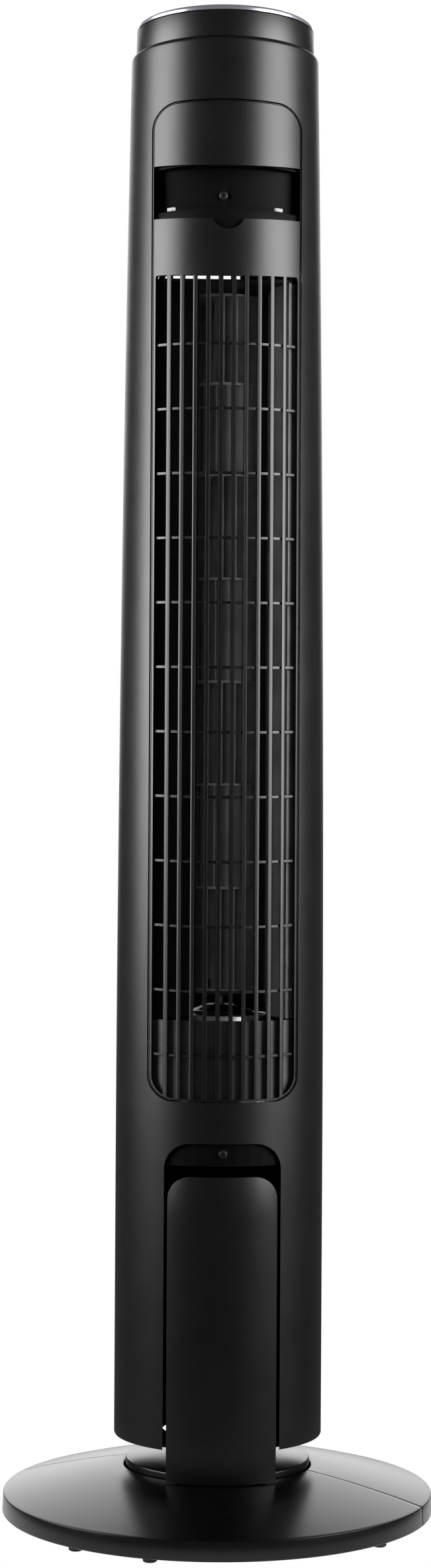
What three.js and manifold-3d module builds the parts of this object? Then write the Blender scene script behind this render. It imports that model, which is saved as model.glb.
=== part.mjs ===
// Tower fan: a slim tapered tower that swings on a round two-piece base.
// Millimetres, +Z up, origin at the bottom centre of the base, front of the fan towards -Y.
import * as THREE from "three";
import { mergeVertices } from "three/addons/utils/BufferGeometryUtils.js";
import Module from "manifold-3d";

const wasm = await Module();
wasm.setup();

// ---------------------------------------------------------------- driving dimensions
const GAP = 0.35; // clearance between separate pieces
const SEGMENTS = 48; // facets round the tower
const REACH = 90; // beyond the tower in any direction

const BASE = {
  rimRadius: 152.5,
  rimTopRadius: 151.6,
  rimLow: 3.1,
  rimTop: 17.1,
  holeRadius: 66.2,
  holeTop: 35.5,
  wall: 3,
  seamAngle: 67, // degrees right of the front
  segments: 48,
};
const FOOT = { radius: 5, height: 2.9, ring: 145.5, angles: [-43, -20, 47] };
const DISC = { radius: 65.2, top: 40.6, plate: 3, skirtLow: 34.2, skirtWall: 2.8 };
const TOWER = {
  radius: 73.6,
  bottom: 57.1,
  taperStart: 230,
  top: 1033,
  taper: 7.2, // radius lost between taperStart and top
  taperPower: 2,
  wall: 2.6,
  shoulder: 4,
};
const INSERT = {
  halfWidth: 52,
  low: 298.5,
  high: 988.7,
  lowCorner: 17.5,
  highCorner: 17,
  thick: 3,
  inset: 0.2,
  rim: 0.9,
};
const GRILLE = {
  low: 300.2,
  high: 867,
  corner: 15.8,
  halfWidth: 50,
  bars: 10,
  pitch: 8.95,
  barWidth: 2.8,
  barDepth: 4.4,
  ribLow: 329.2,
  ribPitch: 44.66,
  ribs: 12,
  ribHeight: 2,
  ribRise: 1.3, // how far a rib's ends stand above its middle
  topRise: 3.1,
};
const WINDOW = { low: 906.2, high: 939.8, rise: 3.3, notchRadius: 11.8, notchZ: 911 };
const POCKET = {
  halfWidth: 48.4,
  low: 901.4,
  high: 944.2,
  backRadius: 86,
  centreY: 34,
  wall: 1.7,
  lipTop: 914,
  lipHalfWidth: 51.6,
  lipThick: 2,
  screwX: -2.7,
  screwZ: 925.3,
  padAt: [-38.9, 35.5],
};
const ARCH = { halfWidth: 40.4, top: 269.6, corner: 18, screwZ: 262.5 };
const NECK_PANEL = {
  halfWidth: 38,
  low: 35.4,
  high: 246.7,
  corner: 16,
  inset: 0.4,
  thick: 2.4,
  webHalf: 3,
  webTop: 225,
};
const INTAKE = {
  halfWidth: 46,
  low: 372,
  high: 898,
  corner: 14,
  bars: 8,
  pitch: 9.6,
  barWidth: 2.8,
  barDepth: 4.4,
  ribLow: 503,
  ribPitch: 132,
  ribs: 3,
  ribHeight: 2,
  ribRise: 0,
};
const IMPELLER = {
  x: 0,
  y: 8,
  radius: 28,
  blades: 12,
  bladeDepth: 7,
  bladeThick: 1,
  lean: 32, // degrees between a blade and the radius
  discs: [371, 443.5, 516.4, 589, 661.7, 735, 799.3, 862],
  discThick: 2,
  shaftRadius: 4,
};
const GEAR = {
  module: 1.8,
  ringTeeth: 32,
  pinionTeeth: 8,
  addendum: 1.2,
  dedendum: 1.7,
  rootShare: 1.1, // tooth width at the root and the tip, as shares of the pitch tooth
  tipShare: 0.42,
  low: 30.4,
  high: 36.2,
  bore: 22,
};
const PINION_ANGLE = 90; // degrees, behind the tower axis
const CAP = { radius: 63.3, low: 1033, ringLow: 1052, top: 1056, wall: 2.6, ringWidth: 6.4 };
const PANEL_THICK = 2;
const DISPLAY = { x0: -17, x1: 17, y0: -5, y1: 9, gap: 0.35, thick: 1.6 };
const BUTTONS = {
  count: 5,
  radius: 5,
  pitch: 16,
  y: -32,
  proud: 1.6,
  flangeRadius: 6.4,
  flangeThick: 1.2,
  low: 1046.6,
};

const materials = {
  satinBlack: ["#1b1a1a", 0.45, 0],
  gloss: ["#101012", 0.15, 0],
  darkPlastic: ["#2a2a2a", 0.6, 0],
  greyPlastic: ["#55565a", 0.55, 0],
  lightPad: ["#a9a9ab", 0.7, 0],
  silver: ["#b9bbc2", 0.25, 0.9],
  steel: ["#9a9c9f", 0.35, 0.9],
  chrome: ["#dcdde0", 0.1, 1],
  rubber: ["#161616", 0.9, 0],
  white: ["#e6e4dc", 0.6, 0],
  board: ["#1f5a35", 0.6, 0],
};

// ---------------------------------------------------------------- solids
function solid(geometry) {
  const bare = geometry.clone();
  bare.deleteAttribute("normal");
  bare.deleteAttribute("uv");
  const merged = mergeVertices(bare, 1e-4);
  return new wasm.Manifold(
    new wasm.Mesh({
      numProp: 3,
      vertProperties: new Float32Array(merged.attributes.position.array),
      triVerts: new Uint32Array(merged.index.array),
    }),
  );
}

function node(name, material, body) {
  const mesh = body.getMesh();
  const geometry = new THREE.BufferGeometry();
  geometry.setAttribute("position", new THREE.BufferAttribute(mesh.vertProperties, 3));
  geometry.setIndex(new THREE.BufferAttribute(mesh.triVerts, 1));
  geometry.computeVertexNormals();
  const [color, roughness, metalness] = materials[material];
  const look = new THREE.MeshStandardMaterial({ color, roughness, metalness });
  const result = new THREE.Mesh(geometry, look);
  result.name = name;
  return result;
}

const radians = (degrees) => (degrees * Math.PI) / 180;

// A closed profile of [radius, z] pairs, turned about the Z axis.
function turned(profile, segments = SEGMENTS) {
  const onAxis = profile[0][0] === 0;
  const points = profile.map(([r, z]) => new THREE.Vector2(r, z));
  if (!onAxis) points.push(points[0].clone());
  const geometry = new THREE.LatheGeometry(points, segments);
  geometry.rotateX(Math.PI / 2);
  return solid(geometry);
}

// A flat outline extruded upwards from z = low to z = high.
function prism(outline, low, high) {
  const shape = new THREE.Shape(outline.map(([x, y]) => new THREE.Vector2(x, y)));
  const geometry = new THREE.ExtrudeGeometry(shape, { depth: high - low, bevelEnabled: false });
  geometry.translate(0, 0, low);
  return solid(geometry);
}

// An outline of [x, z] pairs extruded along Y from y0 to y1.
function slab(outline, y0, y1) {
  const shape = new THREE.Shape(outline.map(([x, z]) => new THREE.Vector2(x, z)));
  const geometry = new THREE.ExtrudeGeometry(shape, { depth: y1 - y0, bevelEnabled: false });
  geometry.rotateX(Math.PI / 2);
  geometry.translate(0, y1, 0);
  return solid(geometry);
}

function box(x0, x1, y0, y1, z0, z1) {
  const geometry = new THREE.BoxGeometry(x1 - x0, y1 - y0, z1 - z0);
  geometry.translate((x0 + x1) / 2, (y0 + y1) / 2, (z0 + z1) / 2);
  return solid(geometry);
}

function drum(x, y, radius, low, high, sides = 24) {
  const geometry = new THREE.CylinderGeometry(radius, radius, high - low, sides);
  geometry.rotateX(Math.PI / 2);
  geometry.translate(x, y, (low + high) / 2);
  return solid(geometry);
}

function tube(x, y, inner, outer, low, high, sides = 24) {
  return drum(x, y, outer, low, high, sides).subtract(drum(x, y, inner, low - 1, high + 1, sides));
}

// Corner points of a rectangle whose corners are rounded, in either plane.
function roundedOutline(halfWidth, low, high, lowCorner, highCorner = lowCorner) {
  const steps = 5;
  const corners = [
    [halfWidth, high, highCorner, 0],
    [-halfWidth, high, highCorner, 90],
    [-halfWidth, low, lowCorner, 180],
    [halfWidth, low, lowCorner, 270],
  ];
  const outline = [];
  for (const [x, z, corner, start] of corners) {
    const cx = x - Math.sign(x) * corner;
    const cz = z === high ? z - corner : z + corner;
    const count = corner > 0 ? steps : 0;
    for (let i = 0; i <= count; i++) {
      const angle = radians(start + (count ? (90 * i) / count : 0));
      outline.push([cx + corner * Math.cos(angle), cz + corner * Math.sin(angle)]);
    }
  }
  return outline;
}

// The same outline with its lower and upper edges bowed, so that their ends stand higher.
function bowedOutline(halfWidth, low, high, corners, lowRise, highRise) {
  const steps = 8;
  const rounded = roundedOutline(halfWidth, low, high, corners[0], corners[1]);
  const perCorner = rounded.length / 4;
  const outline = [];
  rounded.forEach(([x, z], i) => {
    outline.push([x, z]);
    const [nextX, nextZ] = rounded[(i + 1) % rounded.length];
    const alongEdge = (i + 1) % perCorner === 0 && nextZ === z;
    for (let k = 1; alongEdge && k < steps; k++) {
      outline.push([x + ((nextX - x) * k) / steps, z]);
    }
  });
  return outline.map(([x, z]) => {
    const upper = z > (low + high) / 2;
    return [x, z + (upper ? highRise : lowRise) * (x / halfWidth) ** 2];
  });
}

function towerRadius(z) {
  const t = Math.max(0, (z - TOWER.taperStart) / (TOWER.top - TOWER.taperStart));
  return TOWER.radius - TOWER.taper * t ** TOWER.taperPower;
}

const TAPER_LEVELS = [230, 400, 560, 700, 820, 930, 1026];

// A wall that follows the tapered tower, from outer offset a to inner offset b.
function towerWall(low, high, a, b) {
  const levels = [low, ...TAPER_LEVELS.filter((z) => z > low + 5 && z < high - 5), high];
  const outer = levels.map((z) => [towerRadius(z) - a, z]);
  const inner = levels.map((z) => [towerRadius(z) - b, z]).reverse();
  return turned([...outer, ...inner]);
}

// Everything inside the tower's wall, used to trim the inner pieces.
function towerInside(low, high, offset) {
  const levels = [low, ...TAPER_LEVELS.filter((z) => z > low + 5 && z < high - 5), high];
  return turned([[0, low], ...levels.map((z) => [towerRadius(z) - offset, z]), [0, high]]);
}

// ---------------------------------------------------------------- base
function baseShell() {
  const { rimRadius, rimTopRadius, rimLow, rimTop, holeRadius, holeTop, wall } = BASE;
  const collarLow = 20;
  const profile = [
    [rimRadius, rimLow],
    [rimTopRadius, rimTop - 1.2],
    [rimTopRadius - 1.6, rimTop],
    [125, 24.2],
    [95, 30.9],
    [holeRadius + 1.5, holeTop],
    [holeRadius, holeTop - 1.2],
    [holeRadius, collarLow],
    [holeRadius + wall, collarLow],
    [holeRadius + wall, holeTop - wall - 1.6],
    [95, 30.9 - wall],
    [125, 24.2 - wall],
    [rimTopRadius - 4.4, rimTop - wall - 0.6],
    [rimRadius - wall, rimLow],
  ];
  return turned(profile, BASE.segments);
}

function baseHalf(name, side) {
  const reach = 200;
  const half = box(-reach, reach, GAP / 2, reach, -10, 60).rotate([0, 0, side - BASE.seamAngle]);
  let shell = baseShell().intersect(half);
  if (side === 0) {
    shell = shell.subtract(cordOpening(GAP));
  }
  return node(name, "satinBlack", shell);
}

const CORD = { z: 9.6, angle: 90, bore: 2.4, radius: 3.6 };

function alongRadius(body) {
  return body.rotate([0, 90, 0]).rotate([0, 0, CORD.angle]).translate([0, 0, CORD.z]);
}

function cordOpening(clearance) {
  return alongRadius(drum(0, 0, CORD.radius + clearance, 140, 160, 20));
}

function cordGland() {
  const body = tube(0, 0, CORD.bore, CORD.radius, 143.5, 151.8, 20);
  return node("cord_inlet_gland", "rubber", alongRadius(body));
}

function bottomPlate() {
  const plate = tube(0, 0, 21, 145.5, 3.3, 5.3, 32);
  return node("base_weight_plate", "steel", plate.subtract(baseScrewHoles()));
}

function feet() {
  const result = [];
  let count = 1;
  for (const turn of [0, 180]) {
    for (const angle of FOOT.angles) {
      const a = radians(angle + turn);
      const x = FOOT.ring * Math.sin(a);
      const y = -FOOT.ring * Math.cos(a);
      result.push(node(`rubber_foot_${count}`, "rubber", drum(x, y, FOOT.radius, 0, FOOT.height, 16)));
      count += 1;
    }
  }
  return result;
}

function swivelHub() {
  const profile = [
    [15.5, 5.7],
    [65.6, 5.7],
    [65.6, 19.4],
    [61.6, 19.4],
    [61.6, 32.4],
    [56.2, 32.4],
    [56.2, 9],
    [18.5, 9],
    [18.5, 28.5],
    [15.5, 28.5],
  ];
  return node("swivel_hub", "darkPlastic", turned(profile, 28).subtract(baseScrewHoles()));
}

function bearingRing() {
  return node("swivel_bearing_ring", "white", tube(0, 0, 56.6, 60.6, 32.8, 37.2, 32));
}

const pinionCentre = (GEAR.module * (GEAR.ringTeeth + GEAR.pinionTeeth)) / 2;

function swingMotor() {
  const can = drum(0, pinionCentre, 17, 9.4, 25, 28);
  const ears = box(-24, 24, pinionCentre - 4, pinionCentre + 4, 23, 25);
  const body = can.add(ears).subtract(drum(0, pinionCentre, 3.2, 20, 40, 16));
  return node("swing_motor", "steel", body);
}

// A gear blank whose teeth taper from root to tip; the first tooth points along +X.
function gearOutline(teeth) {
  const { addendum, dedendum, rootShare, tipShare } = GEAR;
  const pitch = (GEAR.module * teeth) / 2;
  const half = (GEAR.module * Math.PI) / 4;
  const root = pitch - dedendum;
  const tip = pitch + addendum;
  const points = [];
  for (let i = 0; i < teeth; i++) {
    const centre = (2 * Math.PI * i) / teeth;
    points.push([root, centre - (half * rootShare) / root]);
    points.push([tip, centre - (half * tipShare) / tip]);
    points.push([tip, centre + (half * tipShare) / tip]);
    points.push([root, centre + (half * rootShare) / root]);
  }
  return points.map(([r, a]) => [r * Math.cos(a), r * Math.sin(a)]);
}

function swingGear() {
  const halfTooth = 180 / GEAR.ringTeeth;
  const rim = prism(gearOutline(GEAR.ringTeeth), GEAR.low, GEAR.high);
  const hollow = drum(0, 0, GEAR.bore, GEAR.low - 1, GEAR.high + 2, 32);
  return node("swing_gear", "white", rim.subtract(hollow).rotate([0, 0, PINION_ANGLE + halfTooth]));
}

function swingPinion() {
  const teeth = prism(gearOutline(GEAR.pinionTeeth), GEAR.low, GEAR.high);
  const shaft = drum(0, 0, 2.6, 20.6, GEAR.low + 1, 12);
  const body = teeth.add(shaft).rotate([0, 0, PINION_ANGLE]);
  return node("swing_pinion", "white", body.translate([0, pinionCentre, 0]));
}

// ---------------------------------------------------------------- turntable and neck
function turntableDisc() {
  const under = DISC.top - DISC.plate;
  const profile = [
    [9.5, 5.6],
    [14.2, 5.6],
    [14.2, under],
    [DISC.radius - DISC.skirtWall, under],
    [DISC.radius - DISC.skirtWall, DISC.skirtLow],
    [DISC.radius, DISC.skirtLow],
    [DISC.radius, DISC.top - 0.8],
    [DISC.radius - 0.8, DISC.top],
    [9.5, DISC.top],
  ];
  return node("turntable_disc", "satinBlack", turned(profile, 40));
}

function retainingRing() {
  return node("swivel_retaining_ring", "steel", tube(0, 0, 9.8, 19, 3.1, 5.3, 24));
}

const NECK = { halfWidth: 33, halfDepth: 30, corner: 14, wall: 3, top: 236 };

function neckColumn() {
  const low = DISC.top + GAP;
  const outer = roundedOutline(NECK.halfWidth, -NECK.halfDepth, NECK.halfDepth, NECK.corner);
  const inner = roundedOutline(
    NECK.halfWidth - NECK.wall,
    -NECK.halfDepth + NECK.wall,
    NECK.halfDepth - NECK.wall,
    NECK.corner - NECK.wall,
  );
  const column = prism(outer, low, NECK.top).subtract(prism(inner, low + 4, NECK.top + 1));
  const cableHole = drum(0, 0, 9.5, low - 1, low + 6, 20);
  const flange = tube(0, 0, 27, 50, NECK.top - 4, NECK.top, 28);
  return node("neck_column", "darkPlastic", column.add(flange).subtract(cableHole));
}

function neckPanel() {
  const { halfWidth, low, high, corner, inset, thick, webHalf, webTop } = NECK_PANEL;
  const outer = TOWER.radius - inset;
  const shell = turned([
    [outer, low],
    [outer, high],
    [outer - thick, high],
    [outer - thick, low],
  ]);
  const outline = slab(roundedOutline(halfWidth, low, high, 0, corner), -REACH, 0);
  const web = box(-webHalf, webHalf, 1 - outer, -NECK.halfDepth - GAP, DISC.top + 4, webTop);
  return node("neck_front_panel", "satinBlack", shell.intersect(outline).add(web));
}

// ---------------------------------------------------------------- tower shells
function towerShell() {
  const { bottom, top, shoulder, wall } = TOWER;
  const levels = TAPER_LEVELS;
  const crown = towerRadius(top);
  const outer = [
    [TOWER.radius - 1.2, bottom],
    [TOWER.radius, bottom + 1.2],
    ...levels.map((z) => [towerRadius(z), z]),
    [crown - 0.3, top - shoulder + 1.5],
    [crown - 1.3, top - 1.1],
    [crown - 3, top],
  ];
  const inner = [
    [crown - shoulder - 2, top],
    [crown - shoulder - 2, top - 2.6],
    [crown - wall - 1, top - shoulder],
    ...levels
      .filter((z, i) => i % 2 === 0)
      .map((z) => [towerRadius(z) - wall, z])
      .reverse(),
    [TOWER.radius - wall, bottom],
  ];
  return turned([...outer, ...inner]);
}

function insertOpening(grow) {
  const { halfWidth, low, high, lowCorner, highCorner } = INSERT;
  const corners = [lowCorner + grow, highCorner + grow];
  return slab(roundedOutline(halfWidth + grow, low - grow, high + grow, ...corners), -REACH, 0);
}

function intakeOpening(grow) {
  const { halfWidth, low, high, corner } = INTAKE;
  return slab(roundedOutline(halfWidth + grow, low - grow, high + grow, corner + grow), 0, REACH);
}

function archOpening() {
  const { halfWidth, top, corner } = ARCH;
  return slab(roundedOutline(halfWidth, 30, top, 0, corner), -REACH, 0);
}

function frontHousing() {
  const half = box(-REACH, REACH, -REACH, -GAP / 2, 0, 1100);
  const body = towerShell().intersect(half).subtract(insertOpening(GAP)).subtract(archOpening());
  return node("front_housing", "satinBlack", body);
}

function rearHousing() {
  const half = box(-REACH, REACH, GAP / 2, REACH, 0, 1100);
  return node("rear_housing", "satinBlack", towerShell().intersect(half).subtract(intakeOpening(GAP)));
}

function bottomCover() {
  const outer = TOWER.radius - TOWER.wall - 2 * GAP;
  const inner = 39.4;
  const low = TOWER.bottom + 1.5;
  const thick = 2;
  const height = 9;
  const profile = [
    [outer, low],
    [outer, low + height],
    [outer - thick, low + height],
    [outer - thick, low + thick],
    [inner, low + thick],
    [inner, low],
  ];
  const slot = box(-NECK_PANEL.webHalf - 1, NECK_PANEL.webHalf + 1, -REACH, -25, 0, 300);
  return node("housing_bottom_cover", "darkPlastic", turned(profile).subtract(slot));
}

function archHood() {
  // The shallow band set back inside the top of the arch, which carries a screw.
  const { halfWidth, top, screwZ } = ARCH;
  const outer = TOWER.radius - TOWER.wall - GAP;
  const low = top - 15.6;
  const thick = 2;
  const shelfDepth = 20;
  const band = turned([
    [outer, low + thick],
    [outer, top + 14],
    [outer - thick, top + 14],
    [outer - thick, low + thick],
  ]);
  const shelf = turned([
    [outer, low],
    [outer, low + thick + 0.1],
    [outer - shelfDepth, low + thick + 0.1],
    [outer - shelfDepth, low],
  ]);
  const reach = slab(roundedOutline(halfWidth + 4, low - 4, top + 12, 0), -REACH, -20);
  const screwHole = screwCutter(0, screwZ, -outer - 1, 1.8);
  return node("arch_inner_band", "darkPlastic", band.add(shelf).intersect(reach).subtract(screwHole));
}

// A hole along Y for a screw, and the screw that goes in it.
function screwCutter(x, z, y, radius) {
  const geometry = new THREE.CylinderGeometry(radius, radius, 16, 12);
  geometry.translate(x, y + 4, z);
  return solid(geometry);
}

function screwBody(length) {
  // A pan head with a driver slot; the head starts at zero and the shank runs along +Y.
  const points = [
    [0, 0],
    [2.4, 0],
    [3, 0.6],
    [3, 1.6],
    [1.4, 1.6],
    [1.4, length],
    [0, length],
  ];
  const geometry = new THREE.LatheGeometry(
    points.map(([r, h]) => new THREE.Vector2(r, h)),
    10,
  );
  return solid(geometry).subtract(box(-1.9, 1.9, -1, 0.7, -0.4, 0.4));
}

function screw(name, x, z, y, length) {
  return node(name, "steel", screwBody(length).translate([x, y, z]));
}

const BASE_SCREWS = { ring: 40, low: 1.5, length: 7.1, angles: [0, 60, 180, 240] };

function baseScrewPlaces() {
  return BASE_SCREWS.angles.map((angle) => {
    const a = radians(angle - 30);
    return [BASE_SCREWS.ring * Math.cos(a), BASE_SCREWS.ring * Math.sin(a)];
  });
}

function baseScrewHoles() {
  const holes = baseScrewPlaces().map(([x, y]) => drum(x, y, 1.8, 0, 12, 8));
  return holes.reduce((all, hole) => all.add(hole));
}

function baseScrews() {
  return baseScrewPlaces().map(([x, y], i) => {
    const body = screwBody(BASE_SCREWS.length).rotate([90, 0, 0]).translate([x, y, BASE_SCREWS.low]);
    return node(`base_screw_${i + 1}`, "steel", body);
  });
}

// ---------------------------------------------------------------- front insert
function insertPiece(low, high, corners, lowRise, highRise) {
  const shell = towerWall(INSERT.low - 2, INSERT.high + 2, INSERT.inset, INSERT.thick);
  const outline = bowedOutline(INSERT.halfWidth, low, high, corners, lowRise, highRise);
  return shell.intersect(slab(outline, -REACH, 0));
}

function frontInsert() {
  const { low, halfWidth, lowCorner, rim } = INSERT;
  const mouthOutline = bowedOutline(
    GRILLE.halfWidth,
    GRILLE.low,
    GRILLE.high,
    [GRILLE.corner, 1.5],
    0,
    GRILLE.topRise,
  );
  const notch = new THREE.CylinderGeometry(WINDOW.notchRadius, WINDOW.notchRadius, 60, 32);
  notch.translate(0, -60, WINDOW.notchZ);
  const frame = insertPiece(low, WINDOW.low, [lowCorner, 0], 0, WINDOW.rise)
    .subtract(slab(mouthOutline, -REACH, 0))
    .subtract(solid(notch));
  const within = slab(roundedOutline(halfWidth - rim, low + rim, WINDOW.low - 5, lowCorner - rim), -REACH, 0);
  const bars = uprightBars(GRILLE, low + rim, GRILLE.high + 2, -1).intersect(within);
  const ribs = crossRibs(GRILLE, GRILLE.halfWidth + 0.7, -1);
  return node("front_insert", "satinBlack", frame.add(bars).add(ribs));
}

function upperInsertPanel() {
  const body = insertPiece(WINDOW.high, INSERT.high, [0, INSERT.highCorner], WINDOW.rise, 0);
  return node("upper_insert_panel", "satinBlack", body);
}

// Upright bars on the curved front (side -1) or back (side 1) of the tower.
function uprightBars(spec, low, high, side) {
  const levels = [low, 480, 640, 780, high];
  let bars = null;
  for (let i = 0; i < spec.bars; i++) {
    const x = (i - (spec.bars - 1) / 2) * spec.pitch;
    const face = (z) => Math.sqrt((towerRadius(z) - 0.35) ** 2 - x * x);
    const front = levels.map((z) => [-face(z), z]);
    const back = levels.map((z) => [spec.barDepth - face(z), z]).reverse();
    const shape = new THREE.Shape([...front, ...back].map(([y, z]) => new THREE.Vector2(y, z)));
    const geometry = new THREE.ExtrudeGeometry(shape, { depth: spec.barWidth, bevelEnabled: false });
    geometry.rotateX(Math.PI / 2);
    geometry.rotateZ(Math.PI / 2);
    geometry.translate(x - spec.barWidth / 2, 0, 0);
    if (side > 0) geometry.rotateZ(Math.PI);
    const bar = solid(geometry);
    bars = bars ? bars.add(bar) : bar;
  }
  return bars;
}

// Thin curved ribs set behind the bars.
function crossRibs(spec, reach, side) {
  let ribs = null;
  for (let i = 0; i < spec.ribs; i++) {
    const z = spec.ribLow + i * spec.ribPitch;
    const r = towerRadius(z);
    const rib = turned(
      [
        [r - 1.8, z - spec.ribHeight / 2],
        [r - 1.8, z + spec.ribHeight / 2],
        [r - spec.barDepth + 0.4, z],
      ],
      28,
    );
    ribs = ribs ? ribs.add(rib) : rib;
  }
  const near = side > 0 ? box(-reach, reach, 0, REACH, 0, 1000) : box(-reach, reach, -REACH, 0, 0, 1000);
  return ribs.intersect(near).warp((point) => {
    point[2] += spec.ribRise * (point[0] / spec.halfWidth) ** 2;
  });
}

function backingPanel() {
  const wall = towerWall(INSERT.low + 1, 353.8, 4.9, 6.9);
  return node("outlet_backing_panel", "satinBlack", wall.intersect(box(-50, 50, -REACH, 0, 0, 400)));
}

// ---------------------------------------------------------------- remote holder
function pocketSpace(grow, low, high, frontOffset) {
  const { halfWidth, backRadius, centreY } = POCKET;
  const behind = drum(0, centreY, backRadius - grow, low - 5, high + 5, 64);
  const front = towerInside(low - 10, high + 10, frontOffset);
  const sides = box(-halfWidth - grow, halfWidth + grow, -REACH, 0, low, high);
  return front.intersect(sides).subtract(behind);
}

function remotePocket() {
  const { low, high, wall, lipTop, lipHalfWidth, lipThick, screwX, screwZ } = POCKET;
  const offset = INSERT.thick + GAP;
  const outer = pocketSpace(wall, low - wall, high + wall, offset);
  const hollow = pocketSpace(0, low, high, offset - 8);
  const lip = towerWall(low - wall, lipTop, offset, offset + lipThick).intersect(
    box(-lipHalfWidth, lipHalfWidth, -REACH, 0, low - 10, lipTop + 10),
  );
  const hole = screwCutter(screwX, screwZ, -52, 1.8);
  return node("remote_pocket", "darkPlastic", outer.subtract(hollow).subtract(hole).add(lip));
}

function pocketPads() {
  const r = towerRadius(POCKET.lipTop) - INSERT.thick - GAP - 1;
  return ["remote_pad_left", "remote_pad_right"].map((name, i) => {
    const x = POCKET.padAt[i];
    const y = -Math.sqrt(r * r - x * x);
    const turn = (Math.atan2(x, -y) * 180) / Math.PI;
    const pad = box(-3, 3, -1, 1, 0, 2.4).rotate([0, 0, turn]);
    return node(name, "lightPad", pad.translate([x, y, POCKET.lipTop + 0.3]));
  });
}

// ---------------------------------------------------------------- air duct
const SCROLL_PATH = [
  [51, -41.5],
  [44.5, -43.5],
  [37, -30],
  [33, -14],
  [32, 2],
  [30.5, 18],
  [25, 31],
  [14, 41],
];
const TONGUE_PATH = [
  [-50.5, -42.5],
  [-38, -33.5],
  [-27, -26.5],
  [-19.5, -20],
  [-25, -13.5],
  [-36, -5],
  [-58, 8],
];
const DUCT = {
  low: 354.6,
  high: 866.6,
  guardHigh: 893, // top of the wall standing on the ceiling
  ceilingFront: -45,
  wall: 2,
  flangeFrom: 43.6, // the scroll wall's front edge, a strip just behind the outlet bars
  flangeTo: 51.4,
  flangeOffset: 5.4,
  tabs: 9,
  tabLow: 366.5,
  tabPitch: 58.35,
};

// The outline of a thin wall that follows a path.
function wallOutline(path, thick) {
  const left = [];
  const right = [];
  for (let i = 0; i < path.length; i++) {
    const before = new THREE.Vector2(...path[Math.max(0, i - 1)]);
    const after = new THREE.Vector2(...path[Math.min(path.length - 1, i + 1)]);
    const along = after.sub(before).normalize();
    const [x, y] = path[i];
    left.push([x - (along.y * thick) / 2, y + (along.x * thick) / 2]);
    right.push([x + (along.y * thick) / 2, y - (along.x * thick) / 2]);
  }
  return [...left, ...right.reverse()];
}

function ductWall(path) {
  const motorRoom = drum(IMPELLER.x, IMPELLER.y, 37, 300, 363.5, 40);
  return prism(wallOutline(path, DUCT.wall), DUCT.low, DUCT.high)
    .intersect(towerInside(300, 900, 5.4))
    .subtract(motorRoom);
}

function scrollWall() {
  const { low, high, flangeFrom, flangeTo, flangeOffset, wall } = DUCT;
  const flange = towerWall(low, high, flangeOffset, flangeOffset + wall).intersect(
    box(flangeFrom, flangeTo, -REACH, 0, low - 10, high + 10),
  );
  return node("duct_scroll_wall", "darkPlastic", ductWall(SCROLL_PATH).add(flange));
}

function tongueWall() {
  let body = ductWall(TONGUE_PATH);
  for (let i = 0; i < DUCT.tabs; i++) {
    const z = DUCT.tabLow + i * DUCT.tabPitch;
    body = body.add(box(-40.5, -38, -37, -34.2, z - 1, z + 1));
  }
  return node("duct_tongue_wall", "darkPlastic", body);
}

function ductCeiling() {
  const low = DUCT.high + GAP;
  const top = low + DUCT.wall;
  const inside = towerInside(low - 30, DUCT.guardHigh + 30, 5.4);
  const plate = box(-REACH, REACH, DUCT.ceilingFront, REACH, low, top);
  const guard = prism(wallOutline(SCROLL_PATH, DUCT.wall), low, DUCT.guardHigh);
  const socket = drum(IMPELLER.x, IMPELLER.y, 10, low, top + 8, 24);
  const bore = drum(IMPELLER.x, IMPELLER.y, 7.4, low - 10, top + 20, 24);
  const body = plate.add(guard).intersect(inside).add(socket).subtract(bore);
  return node("duct_ceiling", "darkPlastic", body);
}

function upperBearing() {
  const low = DUCT.high + GAP;
  return node("impeller_top_bearing", "rubber", tube(IMPELLER.x, IMPELLER.y, 2.6, 7, low, low + 8, 24));
}

function rearGrille() {
  const { halfWidth, low, high, corner } = INTAKE;
  const shell = towerWall(low - 2, high + 2, 0.2, TOWER.wall);
  const rim = 4;
  const mouth = slab(roundedOutline(halfWidth - rim, low + rim, high - rim, corner - rim), 0, REACH);
  const frame = shell.intersect(intakeOpening(0)).subtract(mouth);
  const bars = uprightBars(INTAKE, low + 2, high - 2, 1).intersect(intakeOpening(-1));
  const ribs = crossRibs(INTAKE, halfWidth - 3, 1);
  return node("rear_intake_grille", "satinBlack", frame.add(bars).add(ribs));
}

// ---------------------------------------------------------------- impeller and motor
function blade(low, high, angle) {
  const { radius, bladeDepth, bladeThick, lean } = IMPELLER;
  const body = box(-bladeThick / 2, bladeThick / 2, -bladeDepth / 2, bladeDepth / 2, low, high);
  return body.rotate([0, 0, lean]).translate([0, radius - 3.9, 0]).rotate([0, 0, angle]);
}

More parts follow.
